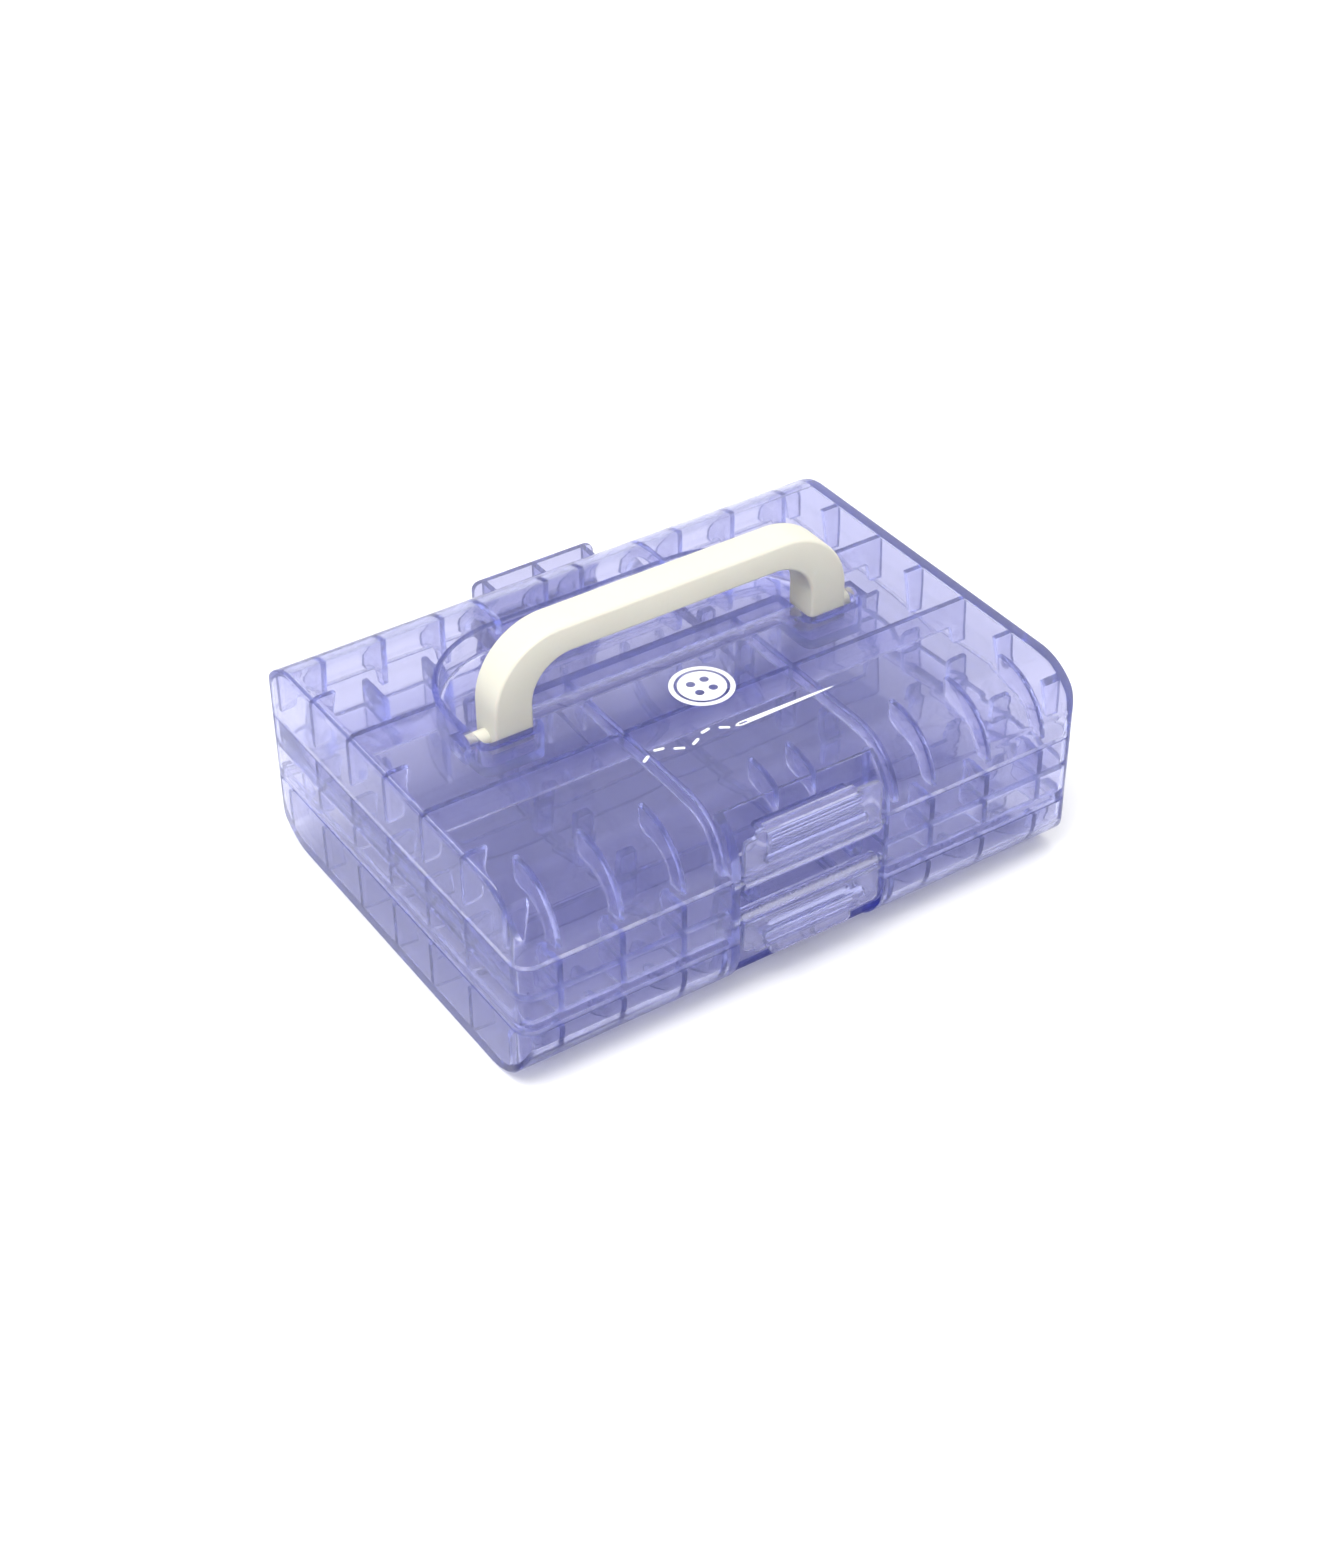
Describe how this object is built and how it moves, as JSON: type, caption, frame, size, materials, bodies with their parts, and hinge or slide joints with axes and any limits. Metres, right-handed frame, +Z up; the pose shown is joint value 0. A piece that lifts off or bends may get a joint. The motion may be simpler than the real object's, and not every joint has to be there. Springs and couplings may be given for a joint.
{
  "type": "divided carry case",
  "caption": "Two-sided see-through plastic carry case: ribbed middle tray with hinged lid and base, front latches and a folding handle.",
  "frame": {"origin": "centre of the case's footprint on the table", "axes": "+Z up, +X to the right when facing the latches, -Y is the latch side and +Y the hinge side"},
  "size_m": [0.17, 0.1353, 0.084],
  "materials": {
    "clear_blue_shell": "translucent lavender blue, glossy",
    "clear_blue_fitting": "translucent lavender blue, glossy",
    "ivory_handle": "ivory white, satin",
    "pin_steel": "bright drawn wire"
  },
  "bodies": {
    "base": {"base_shell": "clear_blue_shell", "base_hinge_leaf": "clear_blue_fitting", "base_hinge_pin": "pin_steel"},
    "tray": {"middle_tray": "clear_blue_shell", "tray_hinge_leaf": "clear_blue_fitting", "lid_hinge_pin": "pin_steel", "top_latch_pin": "pin_steel", "bottom_latch_pin": "pin_steel"},
    "lid": {"lid_shell": "clear_blue_shell", "lid_handle_well": "clear_blue_shell", "lid_hinge_leaf": "clear_blue_fitting"},
    "handle": {"handle": "ivory_handle"},
    "top_latch": {"top_latch": "clear_blue_fitting"},
    "bottom_latch": {"bottom_latch": "clear_blue_fitting"}
  },
  "joints": [
    {"name": "base_hinge", "type": "hinge", "parent": "base", "child": "tray", "pos_m": [0, 0.0669, 0.01915], "axis": [-1, 0, 0], "range_deg": [0, 90]},
    {"name": "lid_hinge", "type": "hinge", "parent": "tray", "child": "lid", "pos_m": [0, 0.0669, 0.03965], "axis": [-1, 0, 0], "range_deg": [0, 90]},
    {"name": "handle_fold", "type": "hinge", "parent": "lid", "child": "handle", "pos_m": [0, 0.0013, 0.0557], "axis": [-1, 0, 0], "range_deg": [0, 89]},
    {"name": "top_latch_pivot", "type": "hinge", "parent": "tray", "child": "top_latch", "pos_m": [0, -0.0624, 0.0364], "axis": [1, 0, 0], "range_deg": [0, 90]},
    {"name": "bottom_latch_pivot", "type": "hinge", "parent": "tray", "child": "bottom_latch", "pos_m": [0, -0.0624, 0.025], "axis": [-1, 0, 0], "range_deg": [0, 90]}
  ]
}
